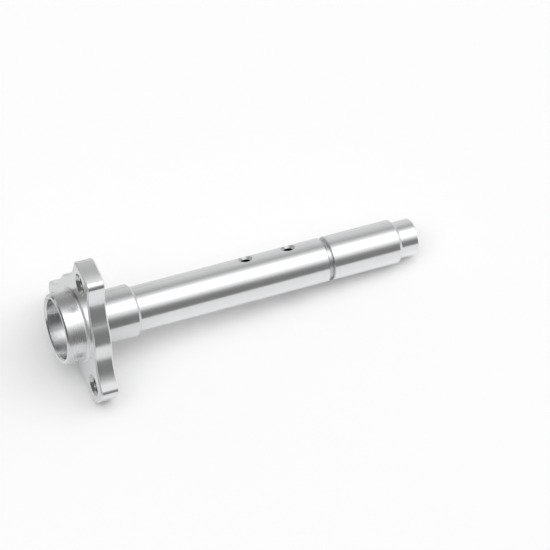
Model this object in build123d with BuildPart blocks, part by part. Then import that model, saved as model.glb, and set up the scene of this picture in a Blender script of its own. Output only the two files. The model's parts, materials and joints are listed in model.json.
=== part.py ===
from build123d import *

import os
from math import atan, cos, radians, sin, sqrt, tan

# The layshaft is one bar, turned to its steps and milled to a flange with three ears.
# It lies as it comes to rest, on two ear tips and a rim near its far end, with one ear upright.
# Stations are measured along the shaft from the hub's open end. All sizes are in millimetres.

# Hub and its blind seat bore
bore_diameter = 16.0
bore_depth = 2.5
hub_wall = 1.5
hub_length = 5.6
hub_chamfer = 0.4
bore_chamfer = 0.4

# Flange, with an odd number of ears so that one stands upright over two lower ones
flange_thickness = 5.0
flange_land = 4.0
ear_count = 3
ear_width = 10.5
ear_straight = 1.5
ear_taper = 8.0
tip_corner = 2.0
rim_chamfer = 0.4
root_fillet = 0.2

# Ear holes, drilled to the tapping size of an M5 thread
tap_drill = 4.2
tap_chamfer = 0.9
hole_stand_off = 3.0
hole_edge_margin = 4.75

# Turned steps, from the flange to the far end
step_length = 11.0
step_shoulder = 1.0
shoulder_land = 0.2
shaft_diameter = 12.0
long_seat_length = 54.1
groove_width = 1.1
groove_depth = 0.8
groove_chamfer = 0.2
gear_seat_length = 20.2
end_shoulder = 1.0
end_length = 5.1
end_chamfer = 0.45

# Centre hole that held the far end while the shaft was turned
centre_mouth = 4.0
centre_pilot = 2.0
centre_pilot_length = 1.2
centre_angle = 60.0
drill_point_angle = 118.0

# Cross holes for drive pins, countersunk at both mouths
pin_hole_diameter = 2.5
pin_hole_mouth = 4.0
pin_hole_countersink = 90.0
pin_hole_spacing = 12.2
pin_hole_to_groove = 9.4
pin_hole_lean = 30.0

# Radii that follow from the sizes above
bore_radius = bore_diameter / 2
hub_radius = bore_radius + hub_wall
disc_radius = hub_radius + flange_land
hole_circle_radius = disc_radius + hole_stand_off
tip_radius = hole_circle_radius + hole_edge_margin
shaft_radius = shaft_diameter / 2
step_radius = shaft_radius + step_shoulder
groove_radius = shaft_radius - groove_depth
end_radius = shaft_radius - end_shoulder
pin_mouth_radius = pin_hole_mouth / 2
countersink_depth = pin_mouth_radius / tan(radians(pin_hole_countersink / 2))

# Stations that follow from the sizes above
flange_near = hub_length
flange_middle = flange_near + flange_thickness / 2
flange_far = flange_near + flange_thickness
step_end = flange_far + step_length
groove_start = step_end + long_seat_length
groove_end = groove_start + groove_width
gear_seat_end = groove_end + gear_seat_length
bevel_start = gear_seat_end - end_shoulder
overall_length = gear_seat_end + end_length
far_pin_hole = groove_start - pin_hole_to_groove
near_pin_hole = far_pin_hole - pin_hole_spacing
centre_cone_end = overall_length - (centre_mouth - centre_pilot) / 2 / tan(radians(centre_angle / 2))
centre_pilot_end = centre_cone_end - centre_pilot_length
centre_tip = centre_pilot_end - centre_pilot / 2 / tan(radians(drill_point_angle / 2))

# One ear seen along the shaft: its tip is round about the shaft's own axis, its corners are
# rounded, and its straight sides lean in towards the tip by the taper. A neck arc on each side
# is tangent to the ear's side and to the disc.
taper = radians(ear_taper)
corner_across = ear_width / 2 - tip_corner
corner_along = sqrt((tip_radius - tip_corner) ** 2 - corner_across**2)
side_across = corner_across + tip_corner * cos(taper)
side_along = corner_along + tip_corner * sin(taper)
neck_top_across = side_across + ear_straight * sin(taper)
neck_top_along = side_along - ear_straight * cos(taper)
neck_reach = disc_radius - neck_top_across * cos(taper) - neck_top_along * sin(taper)
neck_radius = (neck_top_across**2 + neck_top_along**2 - disc_radius**2) / (2 * neck_reach)
neck_across = neck_top_across + neck_radius * cos(taper)
neck_along = neck_top_along + neck_radius * sin(taper)
neck_share = disc_radius / (disc_radius + neck_radius)
corner_share = tip_radius / (tip_radius - tip_corner)

# Resting pose: the two lowest ears stand half an ear pitch from straight down, and the shaft
# tips about their far rims until a rim near its far end meets the surface.
low_ear = radians(180 / ear_count)
ear_drop = corner_along * cos(low_ear) + corner_across * sin(low_ear) + tip_corner
ear_rim = flange_far - rim_chamfer
seat_rim_tilt = atan((ear_drop - shaft_radius) / (bevel_start - ear_rim))
end_rim_tilt = atan((ear_drop - end_radius) / (overall_length - end_chamfer - ear_rim))
tilt = min(seat_rim_tilt, end_rim_tilt)
back_reach = (hub_radius - hub_chamfer) * sin(tilt)
front_reach = overall_length * cos(tilt) + (end_radius - end_chamfer) * sin(tilt)
hub_end_height = ear_rim * sin(tilt) + ear_drop * cos(tilt)
hub_end = ((back_reach - front_reach) / 2, 0, hub_end_height)

# Across the shaft at the hub's open end: local X is level and local Y lies along the upright ear.
shaft_line = Axis(hub_end, (cos(tilt), 0, -sin(tilt)))
section = Plane(origin=hub_end, x_dir=(0, 1, 0), z_dir=shaft_line.direction)
# Lengthwise: local X runs along the shaft and local Y is the radius.
lengthwise = Plane(origin=hub_end, x_dir=shaft_line.direction, z_dir=(0, -1, 0))
# Square to the cross holes: local X runs along the shaft and local Z comes out of their mouths.
lean = radians(pin_hole_lean)
pin_direction = section.y_dir * cos(lean) + section.x_dir * sin(lean)
pin_plane = Plane(origin=hub_end, x_dir=shaft_line.direction, z_dir=pin_direction)
pin_back_plane = Plane(origin=hub_end, x_dir=shaft_line.direction, z_dir=-pin_direction)

with BuildPart() as layshaft:
    # Flange outline: half an ear is drawn, mirrored and repeated round the disc.
    with BuildSketch(section.offset(flange_near)):
        with BuildLine() as ear_outline:
            neck_foot = (neck_across * neck_share, neck_along * neck_share)
            neck_top = (neck_top_across, neck_top_along)
            corner_foot = (side_across, side_along)
            corner_top = (corner_across * corner_share, corner_along * corner_share)
            Line((0, 0), neck_foot)
            RadiusArc(neck_foot, neck_top, neck_radius)
            Line(neck_top, corner_foot)
            RadiusArc(corner_foot, corner_top, -tip_corner)
            RadiusArc(corner_top, (0, tip_radius), -tip_radius)
            mirror(about=Plane.YZ)
        with PolarLocations(0, ear_count):
            add(make_face(ear_outline.edges(), mode=Mode.PRIVATE))
        Circle(disc_radius)
    extrude(amount=flange_thickness)
    chamfer(layshaft.faces().filter_by(shaft_line).edges(), rim_chamfer)

    # Turned profile, from the hub's open end along the steps to the centre hole
    with BuildSketch(lengthwise):
        with BuildLine():
            Polyline(
                (0, 0),
                (0, hub_radius - hub_chamfer),
                (hub_chamfer, hub_radius),
                (flange_middle, hub_radius),
                (flange_middle, step_radius),
                (step_end - step_shoulder + shoulder_land, step_radius),
                (step_end, shaft_radius + shoulder_land),
                (step_end, shaft_radius),
                (groove_start - groove_chamfer, shaft_radius),
                (groove_start, shaft_radius - groove_chamfer),
                (groove_start, groove_radius),
                (groove_end, groove_radius),
                (groove_end, shaft_radius - groove_chamfer),
                (groove_end + groove_chamfer, shaft_radius),
                (bevel_start, shaft_radius),
                (gear_seat_end, end_radius),
                (overall_length - end_chamfer, end_radius),
                (overall_length, end_radius - end_chamfer),
                (overall_length, centre_mouth / 2),
                (centre_cone_end, centre_pilot / 2),
                (centre_pilot_end, centre_pilot / 2),
                (centre_tip, 0),
                close=True,
            )
        make_face()
    revolve(axis=shaft_line)

    # Small root fillets where the hub and the first step meet the flange
    fillet(layshaft.edges(Select.NEW), root_fillet)

    # Blind seat bore, chamfered at its mouth
    with Locations(section):
        Hole(bore_radius, bore_depth)
    chamfer(layshaft.edges(Select.LAST).sort_by(shaft_line)[0], bore_chamfer)

    # One tapped hole in each ear, chamfered at both mouths
    with Locations(section.offset(flange_near)):
        with PolarLocations(hole_circle_radius, ear_count, start_angle=90):
            Hole(tap_drill / 2, flange_thickness)
    chamfer(layshaft.edges(Select.LAST).filter_by(GeomType.CIRCLE), tap_chamfer)

    # Two cross holes right through the shaft, with a countersink in each of their mouths
    with Locations(pin_plane):
        with Locations((near_pin_hole, 0), (far_pin_hole, 0)):
            Hole(pin_hole_diameter / 2)
    with Locations(pin_plane.offset(shaft_radius), pin_back_plane.offset(shaft_radius)):
        with Locations((near_pin_hole, 0), (far_pin_hole, 0)):
            Cone(
                0,
                pin_mouth_radius,
                countersink_depth,
                align=(Align.CENTER, Align.CENTER, Align.MAX),
                mode=Mode.SUBTRACT,
            )

layshaft.part.label = "layshaft"

os.makedirs("parts", exist_ok=True)
export_step(layshaft.part, "parts/layshaft.step")
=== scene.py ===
"""Visual model of a gearbox layshaft, turned and milled from one bar of aluminium.

The shaft's surface is laid out as grids of points in its own directions, and the skin that they
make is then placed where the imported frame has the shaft. Lengths are in millimetres and angles
in degrees unless a name or a comment says otherwise.
"""

import json
import logging
import math
from dataclasses import dataclass, field
from enum import IntEnum

import bpy
import numpy as np
from mathutils import Matrix, Vector


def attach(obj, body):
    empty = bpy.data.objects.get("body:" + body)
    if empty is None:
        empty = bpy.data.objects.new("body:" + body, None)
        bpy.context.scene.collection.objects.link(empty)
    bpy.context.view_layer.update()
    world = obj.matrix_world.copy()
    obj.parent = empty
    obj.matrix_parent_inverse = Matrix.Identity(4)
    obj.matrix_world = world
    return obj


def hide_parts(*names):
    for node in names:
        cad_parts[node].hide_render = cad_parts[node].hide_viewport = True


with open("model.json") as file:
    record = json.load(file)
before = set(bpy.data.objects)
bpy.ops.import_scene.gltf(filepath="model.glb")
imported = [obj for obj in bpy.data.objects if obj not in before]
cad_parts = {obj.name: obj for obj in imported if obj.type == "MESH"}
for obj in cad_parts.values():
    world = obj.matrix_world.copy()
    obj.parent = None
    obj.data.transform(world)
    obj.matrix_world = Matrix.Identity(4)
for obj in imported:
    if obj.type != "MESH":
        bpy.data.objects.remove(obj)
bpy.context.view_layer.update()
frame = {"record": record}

log = logging.getLogger("layshaft")

MM = 0.001  # metres
COLUMNS = 144  # round every turned grid, one each 2.5 degrees
ARC_STEPS = 5  # on each rounded corner of a path
WELD = 1e-4  # points of two grids that lie closer than this are one
NODE = "layshaft"
Path = tuple[np.ndarray, np.ndarray]  # points in two directions, and the unit normals at them
HUB_PAINTED_SHADE = (5.0, 30.0)  # stations between which the painted shade at the hub, a darker tone for the darker surroundings that it mirrors, fades out
FACING = 0.9  # share of a normal along the shaft from which the surface counts as a face
LEANING = 0.05  # share of a normal both ways from which the surface counts as a broken edge


class Finish(IntEnum):
    """How a stretch of the surface was made, as the number of its material slot."""

    TURNED = 0
    FACED = 1
    MILLED = 2
    TAPPED = 3
    PARTED = 4
    FILED = 5
    ROUGHED = 6
    BLENDED = 7


# Geometry that the sub-assemblies share


@dataclass(frozen=True)
class Placement:
    """Where the shaft lies in the row frame.

    A local point is (station, across, up): along the shaft from the hub's open end, level across
    it, and up along the ear that stands upright.
    """

    hub_end: Vector
    along: Vector

    @classmethod
    def from_mount(cls, mount: dict, station: float) -> "Placement":
        """Works out the placement from a mount on the shaft's axis.

        Args:
            mount: A mount of the record, whose axis points along the shaft.
            station: The station at which that mount stands.

        Returns:
            The placement of the whole shaft.
        """
        along = Vector(mount["axis"]).normalized()
        return cls(Vector(mount["pos_m"]) - along * station * MM, along)

    @property
    def up(self) -> Vector:
        """Direction of the upright ear, which is the vertical less its share along the shaft."""
        vertical = Vector((0, 0, 1))
        return (vertical - self.along * vertical.dot(self.along)).normalized()

    @property
    def tilt(self) -> float:
        """Angle in radians by which the shaft dips towards its far end."""
        return math.asin(-self.along.z)

    def turned(self, local: np.ndarray) -> np.ndarray:
        """Directions of the row frame for local directions."""
        return local @ np.array((self.along, self.up.cross(self.along), self.up))

    def placed(self, local: np.ndarray) -> np.ndarray:
        """Points of the row frame, in metres, for local points."""
        return np.array(self.hub_end) + self.turned(local) * MM


def left_of(heading: np.ndarray) -> np.ndarray:
    """Unit directions to the left of headings given in radians."""
    return np.stack((-np.sin(heading), np.cos(heading)), axis=-1)


def rounded_path(corners: list[tuple[float, float]], radii: list[float]) -> Path:
    """Carries a path through corners, each rounded by an arc that is tangent to both its legs.

    An arc of radius R that turns by T leaves the first leg R * tan(T / 2) before the corner. Its
    centre lies R to the side that it turns to, and its points lie R back from the centre along
    the path's left normal, which turns evenly from one leg's to the next.

    Args:
        corners: The path's ends and the corners between them.
        radii: One radius for each corner between the ends.

    Returns:
        The path's points and its unit normals, which point to its left.
    """
    corners = np.array(corners, float)
    radii = np.array(radii, float)
    legs = np.diff(corners, axis=0)
    heading = np.arctan2(legs[:, 1], legs[:, 0])
    turn = (np.diff(heading) + np.pi) % (2 * np.pi) - np.pi
    unit = legs / np.linalg.norm(legs, axis=1, keepdims=True)
    start = corners[1:-1] - unit[:-1] * (radii * np.tan(np.abs(turn) / 2))[:, None]
    bulge = np.sign(turn) * radii
    centre = start + bulge[:, None] * left_of(heading[:-1])
    swept = heading[:-1, None] + turn[:, None] * np.linspace(0, 1, ARC_STEPS + 1)
    arcs = centre[:, None] - bulge[:, None, None] * left_of(swept)
    points = np.concatenate((corners[:1], arcs.reshape(-1, 2), corners[-1:]))
    normals = np.concatenate((left_of(heading[:1]), left_of(swept).reshape(-1, 2), left_of(heading[-1:])))
    return points, normals


def spun(path: np.ndarray) -> np.ndarray:
    """Turns a lengthwise path about the shaft's axis.

    A point at station s and radius r goes to (s, r * sin(b), r * cos(b)), where b is the angle
    from the upright ear towards the level direction. Directions turn in the same way.

    Args:
        path: Rows of (station, radius).

    Returns:
        One row of local points for each point of the path, closed on itself.
    """
    turn = np.linspace(0, 2 * np.pi, COLUMNS + 1)
    station = np.broadcast_to(path[:, :1], (len(path), len(turn)))
    return np.stack((station, path[:, 1:] * np.sin(turn), path[:, 1:] * np.cos(turn)), axis=-1)


def evenly(start: float, end: float, steps: int) -> np.ndarray:
    """Values from start, in even steps, up to the last before end."""
    return np.linspace(start, end, steps, endpoint=False)


def normals_towards(points: np.ndarray, side: np.ndarray) -> np.ndarray:
    """Normals of a grid that is closed on itself, from the differences between its points.

    A normal is the cross product of the differences down the rows and along the columns, turned
    to the side that is asked for.

    Args:
        points: The grid, whose last column is its first again.
        side: A direction for each point, on the side where the normals belong.

    Returns:
        Unit normals.
    """
    wrapped = np.concatenate((points[:, -2:-1], points, points[:, 1:2]), axis=1)
    normals = np.cross(np.gradient(points, axis=0), wrapped[:, 2:] - wrapped[:, :-2])
    normals /= np.linalg.norm(normals, axis=-1, keepdims=True)
    return normals * np.sign(np.sum(normals * side, axis=-1, keepdims=True))


@dataclass
class Skin:
    """One closed surface, gathered from grids that meet along their edges."""

    points: list[np.ndarray] = field(default_factory=list)
    normals: list[np.ndarray] = field(default_factory=list)
    cells: list[np.ndarray] = field(default_factory=list)
    finishes: list[np.ndarray] = field(default_factory=list)
    laid: int = 0

    def lay(
        self,
        points: np.ndarray,
        normals: np.ndarray,
        finish: Finish | np.ndarray,
        kept: np.ndarray | None = None,
    ) -> None:
        """Lays one grid, with its faces turned to the side that its normals point to.

        A cell joins four neighbouring points, and its own normal is the cross product of its
        diagonals.

        Args:
            points: Local points, in rows and columns.
            normals: The surface's normal at each of them.
            finish: The finish of the whole grid, or of each of its rows of cells.
            kept: Which cells are wanted, or None for all of them.
        """
        rows, columns = points.shape[:2]
        number = np.arange(rows * columns).reshape(rows, columns)
        cells = np.stack((number[:-1, :-1], number[:-1, 1:], number[1:, 1:], number[1:, :-1]), axis=-1)
        finishes = np.broadcast_to(np.reshape(finish, (-1, 1)), cells.shape[:2])
        kept = slice(None) if kept is None else kept.ravel()
        cells = cells.reshape(-1, 4)[kept]
        flat = points.reshape(-1, 3)
        facing = normals.reshape(-1, 3)
        crossed = np.cross(flat[cells[:, 2]] - flat[cells[:, 0]], flat[cells[:, 3]] - flat[cells[:, 1]])
        if np.sum(crossed * facing[cells].sum(axis=1)) < 0:
            cells = cells[:, ::-1]
        self.points.append(flat)
        self.normals.append(facing)
        self.cells.append(cells + self.laid)
        self.finishes.append(finishes.ravel()[kept])
        self.laid += len(flat)

    def spin(self, path: Path, finish: Finish | np.ndarray) -> None:
        """Lays the surface that a lengthwise path leaves when it turns about the shaft's axis."""
        self.lay(spun(path[0]), spun(path[1]), finish)

    def as_mesh(self, name: str, placement: Placement) -> bpy.types.Mesh:
        """Welds the grids into one mesh and places it.

        Points that fall into the same cell of a fine lattice are one. A face keeps each corner
        that differs from the next, so a cell that touches the axis becomes a triangle.

        Args:
            name: The mesh's name.
            placement: Where the shaft lies.

        Returns:
            The mesh, in the row frame, with the grids' own normals.
        """
        points = np.concatenate(self.points)
        normals = placement.turned(np.concatenate(self.normals))
        cells = np.concatenate(self.cells)
        lattice = np.round(points / WELD).astype(np.int64)
        _, first, welded = np.unique(lattice, axis=0, return_index=True, return_inverse=True)
        corners = welded.reshape(-1)[cells]
        apart = corners != np.roll(corners, -1, axis=1)
        whole = apart.sum(axis=1) > 2
        apart = apart[whole]
        sizes = apart.sum(axis=1)
        mesh = bpy.data.meshes.new(name)
        mesh.vertices.add(len(first))
        mesh.vertices.foreach_set("co", placement.placed(points[first]).ravel())
        mesh.loops.add(int(sizes.sum()))
        mesh.loops.foreach_set("vertex_index", corners[whole][apart])
        mesh.polygons.add(len(sizes))
        mesh.polygons.foreach_set("loop_start", np.cumsum(sizes) - sizes)
        mesh.polygons.foreach_set("material_index", np.concatenate(self.finishes)[whole])
        mesh.polygons.foreach_set("use_smooth", np.ones(len(sizes), bool))
        mesh.update(calc_edges=True)
        facing = normals[cells[whole]][apart]
        facing /= np.linalg.norm(facing, axis=1, keepdims=True)
        mesh.normals_split_custom_set(facing)
        return mesh


# Sub-assemblies of the shaft


@dataclass(frozen=True)
class TurnedBar:
    """The bar as it leaves the lathe: hub and blind bore, steps, ring groove and centre hole."""

    bore_radius: float = 8.0
    bore_depth: float = 2.5
    bore_chamfer: float = 0.4
    hub_wall: float = 1.5
    hub_length: float = 5.6
    hub_chamfer: float = 0.4
    flange_thickness: float = 5.0
    step_radius: float = 7.0
    step_length: float = 11.0
    shoulder_land: float = 0.2
    shaft_radius: float = 6.0
    long_seat_length: float = 54.1
    groove_width: float = 1.1
    groove_depth: float = 0.8
    groove_chamfer: float = 0.2
    gear_seat_length: float = 20.2
    end_radius: float = 5.0
    end_length: float = 5.1
    end_chamfer: float = 0.45
    centre_mouth_radius: float = 2.0
    centre_pilot_radius: float = 1.0
    centre_pilot_length: float = 1.2
    centre_half_angle: float = 30.0
    drill_half_angle: float = 59.0
    root_fillet: float = 0.2
    hub_root_fillet: float = 0.6
    tool_nose: float = 0.06
    broken_edge: float = 0.05
    face_margin: float = 0.1

    @property
    def hub_radius(self) -> float:
        """Outer radius of the hub."""
        return self.bore_radius + self.hub_wall

    @property
    def flange_far(self) -> float:
        """Station of the flange's far face."""
        return self.hub_length + self.flange_thickness

    @property
    def step_end(self) -> float:
        """Station where the long seat starts."""
        return self.flange_far + self.step_length

    @property
    def groove_start(self) -> float:
        """Station of the groove's near wall."""
        return self.step_end + self.long_seat_length

    @property
    def gear_seat_end(self) -> float:
        """Station where the end journal starts."""
        return self.groove_start + self.groove_width + self.gear_seat_length

    @property
    def overall_length(self) -> float:
        """Station of the far end."""
        return self.gear_seat_end + self.end_length

    @property
    def long_seat(self) -> tuple[float, float]:
        """Stations between which the long seat is a plain cylinder."""
        return self.step_end + self.face_margin, self.groove_start - self.groove_chamfer - self.face_margin

    @property
    def gear_seat_start(self) -> float:
        """Station where the gear seat is a plain cylinder again."""
        return self.groove_start + self.groove_width + self.groove_chamfer + self.face_margin

    def face_radius(self, foot: float) -> float:
        """Radius where a flange face starts, outside the fillet round what stands on it."""
        return foot + max(self.root_fillet, self.hub_root_fillet) + self.face_margin

    def bore_path(self) -> Path:
        """Path from the middle of the bore's floor to the corner of its mouth chamfer."""
        corners = [
            (self.bore_depth, 0),
            (self.bore_depth, self.bore_radius),
            (self.bore_chamfer, self.bore_radius),
            (0, self.bore_radius + self.bore_chamfer),
            (0, self.hub_radius - self.hub_chamfer),
            (self.hub_chamfer, self.hub_radius),
            (self.hub_length, self.hub_radius),
            (self.hub_length, self.face_radius(self.hub_radius)),
        ]
        edge = self.broken_edge
        return rounded_path(corners, [self.tool_nose, edge, edge, edge, edge, self.hub_root_fillet])

    def step_path(self) -> Path:
        """Path from the flange's far face over the first step to the long seat."""
        corners = [
            (self.flange_far, self.face_radius(self.step_radius)),
            (self.flange_far, self.step_radius),
            (self.step_end - (self.step_radius - self.shaft_radius) + self.shoulder_land, self.step_radius),
            (self.step_end, self.shaft_radius + self.shoulder_land),
            (self.step_end, self.shaft_radius),
            (self.long_seat[0], self.shaft_radius),
        ]
        edge = self.broken_edge
        return rounded_path(corners, [self.root_fillet, edge, edge, self.tool_nose / 2])

    def groove_path(self) -> Path:
        """Path from the long seat through the ring groove to the gear seat."""
        groove_end = self.groove_start + self.groove_width
        groove_radius = self.shaft_radius - self.groove_depth
        groove_shoulder = self.shaft_radius - self.groove_chamfer
        corners = [
            (self.long_seat[1], self.shaft_radius),
            (self.groove_start - self.groove_chamfer, self.shaft_radius),
            (self.groove_start, groove_shoulder),
            (self.groove_start, groove_radius),
            (groove_end, groove_radius),
            (groove_end, groove_shoulder),
            (groove_end + self.groove_chamfer, self.shaft_radius),
            (self.gear_seat_start, self.shaft_radius),
        ]
        edge, nose = self.broken_edge, self.tool_nose
        return rounded_path(corners, [edge, edge, nose, nose, edge, edge])

    def end_path(self) -> Path:
        """Path from the gear seat over the end journal to the tip of the centre hole."""
        bevel_start = self.gear_seat_end - (self.shaft_radius - self.end_radius)
        flare = self.centre_mouth_radius - self.centre_pilot_radius
        cone_end = self.overall_length - flare / math.tan(math.radians(self.centre_half_angle))
        pilot_end = cone_end - self.centre_pilot_length
        tip = pilot_end - self.centre_pilot_radius / math.tan(math.radians(self.drill_half_angle))
        corners = [
            (self.gear_seat_start, self.shaft_radius),
            (bevel_start, self.shaft_radius),
            (self.gear_seat_end, self.end_radius),
            (self.overall_length - self.end_chamfer, self.end_radius),
            (self.overall_length, self.end_radius - self.end_chamfer),
            (self.overall_length, self.centre_mouth_radius),
            (cone_end, self.centre_pilot_radius),
            (pilot_end, self.centre_pilot_radius),
            (tip, 0),
        ]
        edge, nose = self.broken_edge, self.tool_nose
        return rounded_path(corners, [edge, nose, edge, edge, edge, edge, edge])

    def cover(self, skin: Skin) -> None:
        """Lays every turned surface but the long seat, which the cross holes break.

        Where a path's normal points along the shaft, the surface is a face. The first path passes
        the bore's floor and wall, the ring at the hub's end, the hub's outside and its root.
        """
        path, normal = self.bore_path()
        station, radius = (path[1:] + path[:-1]).T / 2
        on_face = (normal[1:, 0] + normal[:-1, 0]) / 2 < -FACING
        on_ring = on_face & (station < self.broken_edge)
        on_hub = radius > self.hub_radius - self.broken_edge
        at_root = on_hub & (station > self.hub_length - self.hub_root_fillet)
        made = np.select(
            [on_ring, at_root, on_hub, on_face],
            [Finish.FILED, Finish.BLENDED, Finish.ROUGHED, Finish.TAPPED],
            Finish.TURNED,
        )
        skin.spin((path, normal), made)
        skin.spin(self.step_path(), Finish.TURNED)
        skin.spin(self.groove_path(), Finish.PARTED)
        path, normal = self.end_path()
        on_face = (normal[1:, 0] + normal[:-1, 0]) / 2 > FACING
        skin.spin((path, normal), np.where(on_face, Finish.FACED, Finish.TURNED))


@dataclass(frozen=True)
class CrossHoles:
    """The long seat and the two pin holes drilled right through it."""

    bar: TurnedBar
    radius: float = 1.25
    mouth_radius: float = 2.0
    to_groove: float = 9.4
    spacing: float = 12.2
    lean: float = 30.0
    window_columns: int = 10
    cone_steps: int = 4
    wall_steps: int = 6
    patch_steps: int = 5

    @property
    def stations(self) -> tuple[float, float]:
        """Stations of the near and the far hole."""
        far = self.bar.groove_start - self.to_groove
        return far - self.spacing, far

    @property
    def window(self) -> float:
        """Half the length along the shaft of the square window round each mouth."""
        column = 2 * np.pi / COLUMNS
        return self.bar.shaft_radius * math.sin(self.window_columns * column)

    def cover(self, skin: Skin) -> None:
        """Lays the long seat with its windows, and a mouth in each window."""
        steps = self.window * np.linspace(-1, 1, 2 * self.window_columns + 1)
        near, far = (station + steps for station in self.stations)
        station = np.concatenate((self.bar.long_seat[:1], near, far, self.bar.long_seat[1:]))
        path = np.stack((station, np.full_like(station, self.bar.shaft_radius)), axis=1)
        outward = np.stack((np.zeros_like(station), np.ones_like(station)), axis=1)
        columns_per_degree = COLUMNS / 360
        kept = np.ones((len(station) - 1, COLUMNS), bool)
        for mouth in (self.lean, self.lean + 180):
            middle = round(mouth * columns_per_degree)
            columns = slice(middle - self.window_columns, middle + self.window_columns)
            for first_row in (1, 1 + len(near)):
                kept[first_row : first_row + 2 * self.window_columns, columns] = False
                self.lay_mouth(skin, self.stations[first_row > 1], math.radians(mouth))
        skin.lay(spun(path), spun(outward), Finish.TURNED, kept)

    def lay_mouth(self, skin: Skin, station: float, turn: float) -> None:
        """Lays one mouth: the shaft's surface round it, its countersink and its wall.

        The countersink's 90 degree cone has its mouth radius m at the height R of the shaft's
        crest, so at height h its radius is m - R + h. Where it meets the shaft, at the angle b
        from the shaft's own direction, its radius c solves (c * sin b)^2 + (R - m + c)^2 = R^2.
        The place on the window's edge and that place on the rim are joined by straight lines,
        seen along the hole, and the surface between them has the shaft's own height at every
        point. The wall goes straight down from the cone to the shaft's axis.

        Args:
            skin: What the grids are laid on.
            station: The hole's station.
            turn: The mouth's direction round the shaft, in radians.
        """
        count = self.window_columns
        shaft = self.bar.shaft_radius
        ramp = np.arange(-count, count)
        edge = np.full(2 * count, count)
        column = np.concatenate((ramp, edge, -ramp, -edge, ramp[:1]))
        row = np.concatenate((-edge, ramp, edge, -ramp, -edge[:1]))
        turned = column * 2 * np.pi / COLUMNS
        window = np.stack((self.window * row / count, shaft * np.sin(turned)), axis=-1)
        angle = np.arctan2(window[:, 1], window[:, 0])
        spoke = np.stack((np.cos(angle), np.sin(angle)), axis=-1)
        below = shaft - self.mouth_radius
        squeeze = 1 + spoke[:, 1] ** 2
        rim = (np.sqrt(below**2 + squeeze * (shaft**2 - below**2)) - below) / squeeze
        share = np.linspace(0, 1, self.patch_steps + 1)[:, None, None]
        flat = (1 - share) * window + share * rim[:, None] * spoke
        height = np.sqrt(shaft**2 - flat[..., 1] ** 2)
        patch_normal = np.stack((np.zeros_like(height), flat[..., 1] / shaft, height / shaft), axis=-1)
        patch = np.concatenate((flat, height[..., None]), axis=-1)

        radius = rim + (self.radius - rim) * np.linspace(0, 1, self.cone_steps + 1)[:, None]
        cone = np.concatenate((radius[..., None] * spoke, (below + radius)[..., None]), axis=-1)
        inward = np.pad(-spoke, ((0, 0), (0, 1)))
        cone_normal = np.broadcast_to((inward + (0, 0, 1)) / math.sqrt(2), cone.shape)

        wall = np.linspace(1, 0, self.wall_steps + 1)[:, None, None] * cone[-1]
        wall[..., :2] = cone[-1, :, :2]
        wall_normal = np.broadcast_to(inward, wall.shape)

        chord = np.array((0, math.cos(turn), -math.sin(turn)))
        outward = np.array((0, math.sin(turn), math.cos(turn)))
        axes = np.stack((np.array((1.0, 0, 0)), chord, outward))
        centre = np.array((station, 0, 0))
        skin.lay(centre + patch @ axes, patch_normal @ axes, Finish.TURNED)
        skin.lay(centre + cone @ axes, cone_normal @ axes, Finish.TAPPED)
        skin.lay(centre + wall @ axes, wall_normal @ axes, Finish.TAPPED)


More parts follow.
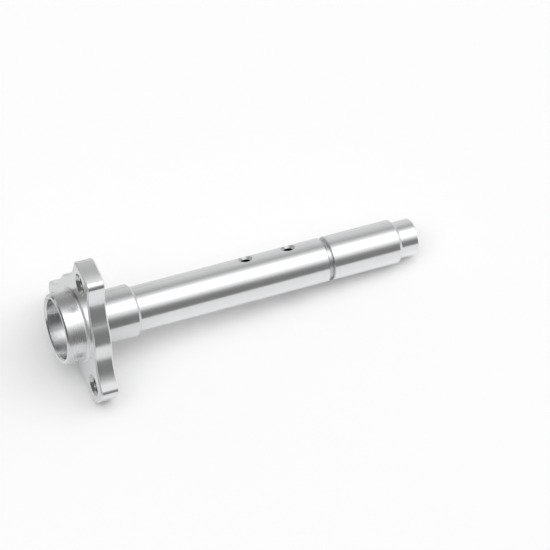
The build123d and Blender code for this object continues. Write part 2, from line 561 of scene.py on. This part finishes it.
@dataclass(frozen=True)
class TappedHole:
    """One hole of the flange, drilled, chamfered at both mouths and tapped."""

    circle_radius: float = 16.5
    drill_radius: float = 2.1
    mouth_radius: float = 3.0
    thread_radius: float = 2.5
    thread_pitch: float = 0.8
    flank_half_angle: float = 30.0
    root_flat: float = 1 / 8  # in share of the pitch
    columns: int = 72
    row_height: float = 0.05
    face_margin: float = 0.05
    broken_edge: float = 0.04

    @property
    def rim_radius(self) -> float:
        """Radius where the flange's face meets the hole's mouth."""
        return self.mouth_radius + self.face_margin

    def ring(self, radius: np.ndarray, turn: np.ndarray) -> np.ndarray:
        """Points (across, up) round the hole of an upright ear, from its point nearest the shaft."""
        return np.stack((radius * np.sin(turn), self.circle_radius - radius * np.cos(turn)), axis=-1)

    def thread(self, depth: np.ndarray, turn: np.ndarray) -> np.ndarray:
        """Radius of the threaded wall.

        The distance from the middle of the groove, which climbs by one pitch in each turn, tells
        how far the flank has come in from the groove's flat root, down to the drilled radius.

        Args:
            depth: Depths from the near face.
            turn: Angles round the hole, in radians.

        Returns:
            Radius for each depth and angle.
        """
        phase = (depth / self.thread_pitch - turn / (2 * np.pi)) % 1
        from_root = (np.abs(phase - 0.5) - self.root_flat / 2) * self.thread_pitch
        flank = np.maximum(from_root, 0) / math.tan(math.radians(self.flank_half_angle))
        return np.maximum(self.thread_radius - flank, self.drill_radius)

    def cover(self, skin: Skin, near: float, thickness: float, turn: float) -> None:
        """Lays the hole's two chamfers and its thread.

        Args:
            skin: What the grids are laid on.
            near: Station of the flange's near face.
            thickness: The flange's thickness.
            turn: Direction of the hole's ear round the shaft, in radians.
        """
        chamfer = self.mouth_radius - self.drill_radius
        start = chamfer / 2
        start_radius = self.mouth_radius - start
        round_hole = np.linspace(0, 2 * np.pi, self.columns + 1)
        corners = [(start, start_radius), (0, self.mouth_radius), (0, self.rim_radius)]
        cone, cone_normal = rounded_path(corners, [self.broken_edge])
        for station, side in ((near, 1), (near + thickness, -1)):
            flat = self.ring(cone[:, 1:], round_hole)
            points = np.insert(flat, 0, station + side * cone[:, :1], axis=-1)
            facing = self.ring(cone_normal[:, 1:], round_hole) - (0, self.circle_radius)
            normals = np.insert(facing, 0, side * cone_normal[:, :1], axis=-1)
            skin.lay(self.swung(points, turn), self.swung(normals, turn), Finish.TAPPED)
        rows = round((thickness - 2 * start) / self.row_height)
        depth = np.linspace(start, thickness - start, rows + 1)[:, None]
        cones = self.mouth_radius - np.minimum(depth, thickness - depth)
        radius = np.maximum(self.thread(depth, round_hole), cones)
        wall = np.insert(self.ring(radius, round_hole), 0, near + depth, axis=-1)
        inward = np.insert(self.ring(-1, round_hole) - (0, self.circle_radius), 0, 0, axis=-1)
        normals = normals_towards(wall, np.broadcast_to(inward, wall.shape))
        skin.lay(self.swung(wall, turn), self.swung(normals, turn), Finish.TAPPED)

    @staticmethod
    def swung(points: np.ndarray, turn: float) -> np.ndarray:
        """Local points swung round the shaft from the upright ear towards the level direction."""
        cosine, sine = math.cos(turn), math.sin(turn)
        return points @ np.array(((1, 0, 0), (0, cosine, -sine), (0, sine, cosine)))


@dataclass(frozen=True)
class EaredFlange:
    """The milled flange: a disc with round-necked ears, each with its tapped hole."""

    bar: TurnedBar
    hole: TappedHole = TappedHole()
    disc_radius: float = 13.5
    ear_count: int = 3
    ear_width: float = 10.5
    ear_straight: float = 1.5
    ear_taper: float = 8.0
    tip_radius: float = 21.25
    tip_corner: float = 2.0
    rim_chamfer: float = 0.4
    broken_edge: float = 0.07
    face_margin: float = 0.1
    face_steps: int = 3
    disc_steps: int = 12
    low_neck_steps: int = 16
    top_neck_steps: int = 3
    corner_steps: int = 7
    tip_steps: int = 7

    def half_outline(self) -> Path:
        """Outline of half the upright ear, from the middle of the gap beside it to its tip.

        It is the disc's arc, the neck's arc the other way, the ear's short straight side, which
        leans in towards the tip by the taper, its corner arc and the tip's arc about the shaft's
        axis, each tangent to the next. The neck's steps change where the face's ribs, drawn
        below, reach the hole's near point and its middle.

        Returns:
            Points (across, up) and their outward normals.
        """
        corner_across = self.ear_width / 2 - self.tip_corner
        corner_up = math.sqrt((self.tip_radius - self.tip_corner) ** 2 - corner_across**2)
        corner = np.array((corner_across, corner_up))
        taper = math.radians(self.ear_taper)
        side_normal = np.array((math.cos(taper), math.sin(taper)))
        side_down = np.array((math.sin(taper), -math.cos(taper)))
        neck_top = corner + self.tip_corner * side_normal + self.ear_straight * side_down
        reach = self.disc_radius - neck_top @ side_normal
        neck_radius = (neck_top @ neck_top - self.disc_radius**2) / (2 * reach)
        neck_centre = neck_top + neck_radius * side_normal
        foot = math.atan2(neck_centre[1], neck_centre[0])
        over_hole = neck_centre[1] - self.hole.circle_radius
        hole_near = math.asin((over_hole + self.hole.rim_radius) / neck_radius)
        hole_middle = math.asin(over_hole / neck_radius)
        quarter = self.hole.columns // 4

        disc = evenly(np.pi / self.ear_count, np.pi / 2 - foot, self.disc_steps)
        neck = np.concatenate((
            evenly(foot, hole_near, self.low_neck_steps),
            evenly(hole_near, hole_middle, quarter),
            np.linspace(hole_middle, taper, self.top_neck_steps + 1),
        ))
        corner_end = math.atan2(corner_across, corner_up)
        corner_turn = evenly(np.pi / 2 - taper, corner_end, self.corner_steps)
        tip = np.linspace(corner_end, 0, self.tip_steps + 1)
        disc_normal, corner_normal, tip_normal = (
            np.stack((np.sin(turn), np.cos(turn)), axis=-1) for turn in (disc, corner_turn, tip)
        )
        neck_normal = np.stack((np.cos(neck), np.sin(neck)), axis=-1)
        points = np.concatenate((
            self.disc_radius * disc_normal,
            neck_centre - neck_radius * neck_normal,
            corner + self.tip_corner * corner_normal,
            self.tip_radius * tip_normal,
        ))
        return points, np.concatenate((disc_normal, neck_normal, corner_normal, tip_normal))

    def half_inner_rail(self, foot_radius: float) -> np.ndarray:
        """Inner edge of half a flange face, matched rib by rib to the half outline.

        It goes round the foot of the hub or step to the ear's middle, straight out to the hole
        and round half of the hole's rim.
        """
        gap_half = np.pi / self.ear_count
        foot_turn = evenly(gap_half, 0, COLUMNS // (2 * self.ear_count))
        foot = foot_radius * np.stack((np.sin(foot_turn), np.cos(foot_turn)), axis=-1)
        hole_near = self.hole.circle_radius - self.hole.rim_radius
        straight_steps = self.disc_steps + self.low_neck_steps - len(foot_turn)
        straight = evenly(foot_radius, hole_near, straight_steps)
        middle = np.stack((np.zeros_like(straight), straight), axis=-1)
        rim_turn = np.linspace(0, np.pi, self.hole.columns // 2 + 1)
        return np.concatenate((foot, middle, self.hole.ring(self.hole.rim_radius, rim_turn)))

    def all_round(self, half: np.ndarray) -> np.ndarray:
        """Mirrors half an ear and repeats the whole ear round the flange, closed on itself."""
        ear = np.concatenate((half[:-1], (half * (-1, 1))[:0:-1]))
        turns = -2 * np.pi / self.ear_count * np.arange(self.ear_count)
        swing = np.array(((np.cos(turns), -np.sin(turns)), (np.sin(turns), np.cos(turns))))
        loop = np.einsum("nk,kjm->mnj", ear, swing).reshape(-1, 2)
        return np.concatenate((loop, loop[:1]))

    def cover(self, skin: Skin) -> None:
        """Lays the rim, both faces and the tapped holes.

        The rim's path is (station, distance outside the outline), and each of its points goes
        that far along the outline's normal. Where the path's normal leans both ways, the surface
        belongs to a broken edge. A face is ruled with straight ribs from its inner edge to the
        outline set in by the rim's chamfer.

        Args:
            skin: What the grids are laid on.
        """
        near, far = self.bar.hub_length, self.bar.flange_far
        inset = self.rim_chamfer + self.face_margin
        outline, outward = (self.all_round(half) for half in self.half_outline())
        corners = [
            (near, -inset),
            (near, -self.rim_chamfer),
            (near + self.rim_chamfer, 0),
            (far - self.rim_chamfer, 0),
            (far, -self.rim_chamfer),
            (far, -inset),
        ]
        path, path_normal = rounded_path(corners, [self.broken_edge] * 4)
        rim = np.insert(outline + path[:, None, 1:] * outward, 0, path[:, :1], axis=-1)
        rim_normal = np.insert(path_normal[:, None, 1:] * outward, 0, path_normal[:, :1], axis=-1)
        on_edge = np.abs(path_normal[1:] + path_normal[:-1]).min(axis=1) / 2 > LEANING
        skin.lay(rim, rim_normal, np.where(on_edge, Finish.FILED, Finish.MILLED))
        share = np.linspace(0, 1, self.face_steps + 1)[:, None, None]
        for station, side, foot in ((near, -1, self.bar.hub_radius), (far, 1, self.bar.step_radius)):
            inner = self.all_round(self.half_inner_rail(self.bar.face_radius(foot)))
            ribs = (1 - share) * inner + share * (outline - inset * outward)
            face = np.insert(ribs, 0, station, axis=-1)
            skin.lay(face, np.broadcast_to((side, 0.0, 0.0), face.shape), Finish.FACED)
        for ear in range(self.ear_count):
            self.hole.cover(skin, near, far - near, -2 * np.pi * ear / self.ear_count)


# Materials


def linear(hex_colour: str) -> tuple[float, float, float, float]:
    """Linear colour of an sRGB hex value such as "#DCDDDE"."""
    channels = [int(hex_colour[i : i + 2], 16) / 255 for i in (1, 3, 5)]
    return (*(c / 12.92 if c <= 0.04045 else ((c + 0.055) / 1.055) ** 2.4 for c in channels), 1.0)


def add_node(tree: bpy.types.NodeTree, kind: str, inputs: dict | None = None, **settings) -> bpy.types.Node:
    """Adds one node with its settings and links.

    Args:
        tree: The material's or the world's node tree.
        kind: The kind of node, without the ShaderNode that it starts with.
        inputs: For an input's name or number, its value, or the socket or node that feeds it. A
            node feeds it from the first output that its settings leave in use.
        settings: The node's own properties.

    Returns:
        The new node.
    """
    node = tree.nodes.new("ShaderNode" + kind)
    for name, value in settings.items():
        setattr(node, name, value)
    for key, value in (inputs or {}).items():
        if isinstance(value, bpy.types.Node):
            value = next(socket for socket in value.outputs if socket.enabled)
        if isinstance(value, bpy.types.NodeSocket):
            tree.links.new(value, node.inputs[key])
        else:
            node.inputs[key].default_value = value
    return node


def bare_tree(owner: bpy.types.Material | bpy.types.World) -> bpy.types.NodeTree:
    """The node tree of a new material or world, emptied."""
    owner.use_nodes = True
    owner.node_tree.nodes.clear()
    return owner.node_tree


def put_in_scene(name: str, data: bpy.types.ID) -> bpy.types.Object:
    """A new object in the scene, with its mesh or its camera."""
    item = bpy.data.objects.new(name, data)
    bpy.context.scene.collection.objects.link(item)
    return item


@dataclass(frozen=True)
class MachinedAluminium:
    """Bare aluminium alloy, cut bright with a sharp tool and left without a coating.

    Its neutral silver grey comes from the metal, with painted shade in some finishes: darker at the hub, on
    the hub's back and in hollows. The tool's marks run one way, so they stretch what the surface mirrors
    across them and leave it crisp along them.
    """

    name: str
    stretch: tuple[float, float, float]  # how finely the marks vary along, across and up
    base_hex: str = "#F2F3F4"
    dull_hex: str = "#E8E9EA"
    hub_shade_hex: str = ""  # painted shade at the hub: a darker tone for the darker surroundings that it mirrors, or the base's tone
    roughness: float = 0.2
    roughness_spread: float = 0.05
    dulling: tuple[float, float] = (0.1, 0.4)  # of marks and clouds, over which the roughness spreads
    mark_width: float = 0.35  # a tool's feed is nearer 0.1, which is too fine to show
    mark_height: float = 0.004
    mark_grain: float = 0.6
    cloud_width: float = 4.0
    cloud_grain: float = 0.55
    noise_detail: float = 3.0
    round_axis: bool = False  # marks that follow the radius instead of a direction
    anisotropy: float = 0.0
    back_shade_hex: str = ""  # painted shade along the back of the turned surface, a darker tone for the dark back that it mirrors, if there is one
    # Distances across the shaft at which the painted shade on the back starts, is full, starts to fade and
    # has gone
    back_shade_across: tuple[float, float, float, float] = (-1.2, 1.6, 2.8, 8.0)

    def back_shade_share(self, tree: bpy.types.NodeTree, parts: bpy.types.Node) -> bpy.types.Node:
        """How much of the painted shade on the back each place has, on the upper half of the bar alone.

        Args:
            tree: The material's node tree.
            parts: The node that gives a place's local coordinates one by one.

        Returns:
            The node that gives the share.
        """
        start, full, fading, end = self.back_shade_across
        share = add_node(tree, "Math", {0: parts.outputs["Z"], 1: 0.0}, operation="GREATER_THAN")
        for none, whole in ((start, full), (end, fading)):
            reach = {"Value": parts.outputs["Y"], "From Min": none, "From Max": whole}
            factors = {0: share, 1: add_node(tree, "MapRange", reach)}
            share = add_node(tree, "Math", factors, operation="MULTIPLY")
        return share

    def build(self, placement: Placement) -> bpy.types.Material:
        """Makes the material.

        Args:
            placement: Where the shaft lies, so that the marks run with it.

        Returns:
            The finished material.
        """
        material = bpy.data.materials.new(self.name)
        tree = bare_tree(material)
        place = {
            "Vector": add_node(tree, "TexCoord").outputs["Object"],
            "Location": placement.hub_end,
            "Rotation": (0, placement.tilt, 0),
            "Scale": (MM, MM, MM),
        }
        local = add_node(tree, "Mapping", place, vector_type="TEXTURE")
        parts = add_node(tree, "SeparateXYZ", {0: local})
        marks_at = add_node(tree, "VectorMath", {0: local, 1: self.stretch}, operation="MULTIPLY")
        if self.round_axis:
            radius = add_node(tree, "VectorMath", {0: marks_at}, operation="LENGTH")
            marks_at = add_node(tree, "CombineXYZ", {"X": radius})
        noises = ((marks_at, self.mark_width, self.mark_grain), (local, self.cloud_width, self.cloud_grain))
        marks, clouds = (
            add_node(
                tree,
                "TexNoise",
                {"Vector": at, "Scale": 1 / width, "Detail": self.noise_detail, "Roughness": grain},
            )
            for at, width, grain in noises
        )
        dulled = add_node(tree, "Math", {0: marks, 1: clouds}, operation="MULTIPLY")
        # The hub's darker tone and the darker band on its back are painted shade, for the darker
        # surroundings that the hub mirrors.
        full, gone = HUB_PAINTED_SHADE
        reach = {"Value": parts.outputs["X"], "From Min": gone, "From Max": full}
        hub_shade_share = add_node(tree, "MapRange", reach)
        layers = [(dulled, self.dull_hex), (hub_shade_share, self.hub_shade_hex or self.base_hex)]
        if self.back_shade_hex:
            layers.append((self.back_shade_share(tree, parts), self.back_shade_hex))
        colour = linear(self.base_hex)
        for share, tone in layers:
            blend = {"Factor": share, "A": colour, "B": linear(tone)}
            colour = add_node(tree, "Mix", blend, data_type="RGBA")
        low, high = self.dulling
        spread = {
            "Value": dulled,
            "From Min": low,
            "From Max": high,
            "To Min": self.roughness - self.roughness_spread,
            "To Max": self.roughness + self.roughness_spread,
        }
        relief = {"Height": marks, "Distance": self.mark_height * MM, "Strength": 1.0}
        metal = {
            "Base Color": colour,
            "Metallic": 1.0,
            "Roughness": add_node(tree, "MapRange", spread),
            "Normal": add_node(tree, "Bump", relief),
            "Anisotropic": self.anisotropy,
        }
        if self.anisotropy:
            metal["Tangent"] = add_node(tree, "CombineXYZ", dict(enumerate(placement.along)))
        add_node(tree, "OutputMaterial", {"Surface": add_node(tree, "BsdfPrincipled", metal)})
        return material


FEED_RINGS = (1.0, 0.02, 0.02)  # marks that run round the bar, so they change along the shaft alone
EVEN_GRAIN = (1.0, 1.0, 1.0)  # marks that run no one way

ALLOYS = {
    # The seats were turned with a fine feed and mirror what is round them in long bands.
    # Near the hub the tone is painted darker: painted shade for the darker surroundings mirrored there.
    Finish.TURNED: MachinedAluminium("turned_aluminium", FEED_RINGS, hub_shade_hex="#DADBDC", anisotropy=0.5),
    # The flange's faces were cut by a tool that moved in towards the axis: fine rings.
    Finish.FACED: MachinedAluminium("faced_aluminium", (0.0, 1.0, 1.0), round_axis=True),
    # The rim was cut by the side of an end mill: faint lines straight across its thickness.
    Finish.MILLED: MachinedAluminium("milled_aluminium", (0.05, 1.0, 1.0)),
    # Drilled and tapped walls and the bore's floor: their darker tone is painted shade in these hollows.
    Finish.TAPPED: MachinedAluminium(
        "tapped_aluminium_painted_shade",
        EVEN_GRAIN,
        base_hex="#CACBCC",
        dull_hex="#B4B5B6",
        roughness=0.18,
        mark_width=0.15,
        mark_height=0.0006,
    ),
    # The narrow groove was plunged with a parting tool. Its greyer tone is painted shade in the groove.
    Finish.PARTED: MachinedAluminium(
        "parted_aluminium_painted_shade", FEED_RINGS, base_hex="#D2D3D4", dull_hex="#C4C5C6", roughness=0.3
    ),
    # The milled edges and the hub's end were filed. They scatter the light: pale, soft lines.
    Finish.FILED: MachinedAluminium("filed_aluminium", EVEN_GRAIN, roughness=0.5, mark_width=0.2),
    # The hub was turned with a coarser feed than the seats, so what it mirrors is softer. Its
    # darker tone over the whole hub and its darker back are painted shade, for the darker surroundings that
    # it mirrors.
    Finish.ROUGHED: MachinedAluminium(
        "roughed_aluminium_painted_shade",
        FEED_RINGS,
        hub_shade_hex="#E8E9EA",
        roughness=0.28,
        mark_height=0.001,
        anisotropy=0.3,
        back_shade_hex="#B6B5B4",
    ),
    # The hub's root was blended with emery, so it scatters the light. The painted shade of the hub's back
    # runs over it, darker still in this crease.
    Finish.BLENDED: MachinedAluminium(
        "blended_aluminium_painted_shade", EVEN_GRAIN, roughness=0.45, mark_width=0.2, back_shade_hex="#9A9998"
    ),
}


@dataclass(frozen=True)
class Layshaft:
    """The whole shaft, one closed surface in the place of its solid."""

    bar: TurnedBar = TurnedBar()

    def build(self) -> bpy.types.Object:
        """Makes the shaft's mesh, dresses it and ties it to the frame.

        Returns:
            The finished piece.
        """
        mounts = {mount["name"]: mount for mount in frame["record"]["mounts"]}
        placement = Placement.from_mount(mounts["turning_centre"], self.bar.overall_length)
        skin = Skin()
        self.bar.cover(skin)
        CrossHoles(self.bar).cover(skin)
        EaredFlange(self.bar).cover(skin)
        mesh = skin.as_mesh("layshaft_body", placement)
        for finish in Finish:
            mesh.materials.append(ALLOYS[finish].build(placement))
        piece = put_in_scene("layshaft_body", mesh)
        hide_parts(NODE)
        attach(piece, "root")
        return piece


# The studio


@dataclass(frozen=True)
class Studio:
    """White table, soft overhead light as a bright band of sky, and the camera."""

    aim: tuple[float, float, float] = (10.528, -1.373, 9.993)
    distance: float = 927.55
    azimuth: float = 23.25  # of the view's direction, from +Y towards +X
    elevation: float = 53.34
    roll: float = 0.99
    lens: float = 229.09
    sensor: float = 36.0
    table_left: float = 120.0
    table_right: float = 3000.0
    table_back: float = 3000.0
    table_front: float = 115.0
    table_gap: float = 0.02
    table_hex: str = "#FFFFFF"
    # Painted light and shade in the mirrored paper, from in front of the shaft to behind it, in share of
    # the span across the shaft: painted light (white) under the shaft, painted shade behind it
    table_painted_light: tuple[tuple[float, str], ...] = (
        (0.0, "#E6E6E6"), (0.6, "#EAEAEA"), (0.8, "#F0F0F0"),
        (0.86, "#FFFFFF"), (0.96, "#FFFFFF"), (1.0, "#E0E0E0"),
    )
    table_painted_light_span: tuple[float, float] = (-115.0, 12.0)
    # Sky brightness by the angle above the front horizon, over the table to the back one
    sky: tuple[tuple[float, float], ...] = (
        (0, 0.2), (18, 0.2), (28, 0.26), (36, 0.44), (44, 0.78), (52, 0.96), (59, 1.2),
        (66, 2.1), (86, 2.1), (95, 1.4), (103, 0.98), (112, 0.7), (120, 0.49), (128, 0.42),
        (138, 0.5), (150, 0.6), (165, 0.68), (180, 0.7),
    )
    # Share of a direction towards -X or +X at which the sky starts to fade and has faded
    left_fade: tuple[float, float] = (-0.6, -0.85)
    right_fade: tuple[float, float] = (0.8, 0.97)
    left_tones: tuple[float, float] = (0.15, 0.9)  # low down and high up
    left_heights: tuple[float, float] = (0.45, 0.75)  # between which one passes into the other
    right_tone: float = 0.85

    def build(self) -> None:
        """Makes the table, the sky and the camera."""
        self.make_table()
        self.make_sky()
        self.make_camera()

    def make_table(self) -> None:
        """Makes the matt white table, which keeps the object's shadow.

        Its front edge runs level across the view, just out of it, and its left edge is near too.
        What the shaft mirrors beyond those edges is dark. Mirrored, the paper is a little greyer
        than it looks, but painted white under the shaft, where the camera sees none of it: painted light
        that lifts the shaft's own shadow out of what the shaft mirrors. Behind the shaft it is painted
        greyer, as painted shade.
        """
        azimuth = math.radians(self.azimuth)
        ahead = np.array((math.sin(azimuth), math.cos(azimuth), 0))
        across = np.array((math.cos(azimuth), -math.sin(azimuth), 0))
        left, right = across * self.table_left, across * self.table_right
        near = -ahead * self.table_front - (0, 0, self.table_gap)
        far = ahead * self.table_back - (0, 0, self.table_gap)
        corners = np.array((near - left, near + right, far + right, far - left)) * MM
        mesh = bpy.data.meshes.new("table")
        mesh.from_pydata(corners.tolist(), [], [(0, 1, 2, 3)])
        material = bpy.data.materials.new("matt_white_paper")
        tree = bare_tree(material)
        place = add_node(tree, "TexCoord").outputs["Object"]
        across_shaft = add_node(tree, "SeparateXYZ", {0: place}).outputs["Y"]
        # The mirrored paper's tones by place are painted light under the shaft and painted shade behind it.
        low, high = (reach * MM for reach in self.table_painted_light_span)
        share = add_node(tree, "MapRange", {"Value": across_shaft, "From Min": low, "From Max": high})
        stops = [(position, linear(tone)) for position, tone in self.table_painted_light]
        tones = {
            "Factor": add_node(tree, "LightPath").outputs["Is Camera Ray"],
            "A": self.add_ramp(tree, share, stops),
            "B": linear(self.table_hex),
        }
        paper = add_node(tree, "BsdfDiffuse", {"Color": add_node(tree, "Mix", tones, data_type="RGBA")})
        add_node(tree, "OutputMaterial", {"Surface": paper})
        mesh.materials.append(material)
        table = put_in_scene("table", mesh)

    def make_sky(self) -> None:
        """Makes the world's light.

        Brightness depends on the angle round the level line along the shaft: atan2(z, -y) of the
        direction is 0 at the front horizon, 90 overhead and 180 at the back horizon. Towards both
        ends of that line, where all its angles meet, it fades to a tone of its own. The ramp
        holds every brightness in share of the highest, which is the strength of the light.
        """
        world = bpy.data.worlds.new("studio")
        tree = bare_tree(world)
        parts = add_node(tree, "SeparateXYZ", {0: add_node(tree, "TexCoord").outputs["Generated"]})
        front = add_node(tree, "Math", {0: parts.outputs["Y"], 1: -1.0}, operation="MULTIPLY")
        angle = add_node(tree, "Math", {0: parts.outputs["Z"], 1: front}, operation="ARCTAN2")
        share = add_node(tree, "MapRange", {"Value": angle, "From Min": 0.0, "From Max": math.pi})
        peak = max(brightness for _, brightness in self.sky)
        bands = [(degrees / 180, (*(brightness / peak,) * 3, 1.0)) for degrees, brightness in self.sky]
        tones = self.add_ramp(tree, share, bands)
        low, high = self.left_heights
        dark, light = self.left_tones
        rise = {
            "Value": parts.outputs["Z"],
            "From Min": low,
            "From Max": high,
            "To Min": dark / peak,
            "To Max": light / peak,
        }
        left_tone = add_node(tree, "MapRange", rise)
        right_tone = (*(self.right_tone / peak,) * 3, 1.0)
        for (start, full), tone in ((self.left_fade, left_tone), (self.right_fade, right_tone)):
            ends = {"Value": parts.outputs["X"], "From Min": start, "From Max": full}
            fade = add_node(tree, "MapRange", ends, interpolation_type="SMOOTHSTEP")
            tones = add_node(tree, "Mix", {"Factor": fade, "A": tones, "B": tone}, data_type="RGBA")
        shown = {
            0: add_node(tree, "LightPath").outputs["Is Camera Ray"],
            1: add_node(tree, "Background", {"Color": tones, "Strength": peak}),
            2: add_node(tree, "Background", {"Color": (1, 1, 1, 1), "Strength": 1.0}),
        }
        add_node(tree, "OutputWorld", {"Surface": add_node(tree, "MixShader", shown)})
        bpy.context.scene.world = world

    @staticmethod
    def add_ramp(tree: bpy.types.NodeTree, factor: bpy.types.Node, stops: list[tuple]) -> bpy.types.Node:
        """Adds a colour ramp.

        Args:
            tree: The node tree of the table or of the world.
            factor: The node that feeds it.
            stops: Its stops as (position, linear colour).

        Returns:
            The new node.
        """
        ramp = add_node(tree, "ValToRGB", {"Fac": factor})
        elements = ramp.color_ramp.elements
        while len(elements) < len(stops):
            elements.new(1.0)
        for element, (position, colour) in zip(elements, stops):
            element.position = position
            element.color = colour
        return ramp

    def make_camera(self) -> None:
        """Makes the camera, aimed from its azimuth and elevation and then rolled a little."""
        azimuth, elevation, roll = (math.radians(a) for a in (self.azimuth, self.elevation, self.roll))
        ahead = Vector((math.sin(azimuth), math.cos(azimuth), 0))
        forward = ahead * math.cos(elevation) - Vector((0, 0, math.sin(elevation)))
        level = Vector((math.cos(azimuth), -math.sin(azimuth), 0))
        right = level * math.cos(roll) + level.cross(forward) * math.sin(roll)
        axes = Matrix((right, right.cross(forward), -forward)).transposed()
        data = bpy.data.cameras.new("camera")
        data.sensor_width = self.sensor
        data.lens = self.lens
        camera = put_in_scene("camera", data)
        place = Vector(self.aim) - forward * self.distance
        camera.matrix_world = Matrix.Translation(place * MM) @ axes.to_4x4()
        bpy.context.scene.camera = camera


def main() -> None:
    """Builds the shaft and its studio, and reports each piece."""
    logging.basicConfig(level=logging.INFO, format="%(name)s: %(message)s")
    bpy.context.scene.view_settings.view_transform = "Standard"
    piece = Layshaft().build()
    log.info("%s has %d faces", piece.name, len(piece.data.polygons))
    Studio().build()
    log.info("studio is set")


if __name__ == "__main__":
    main()
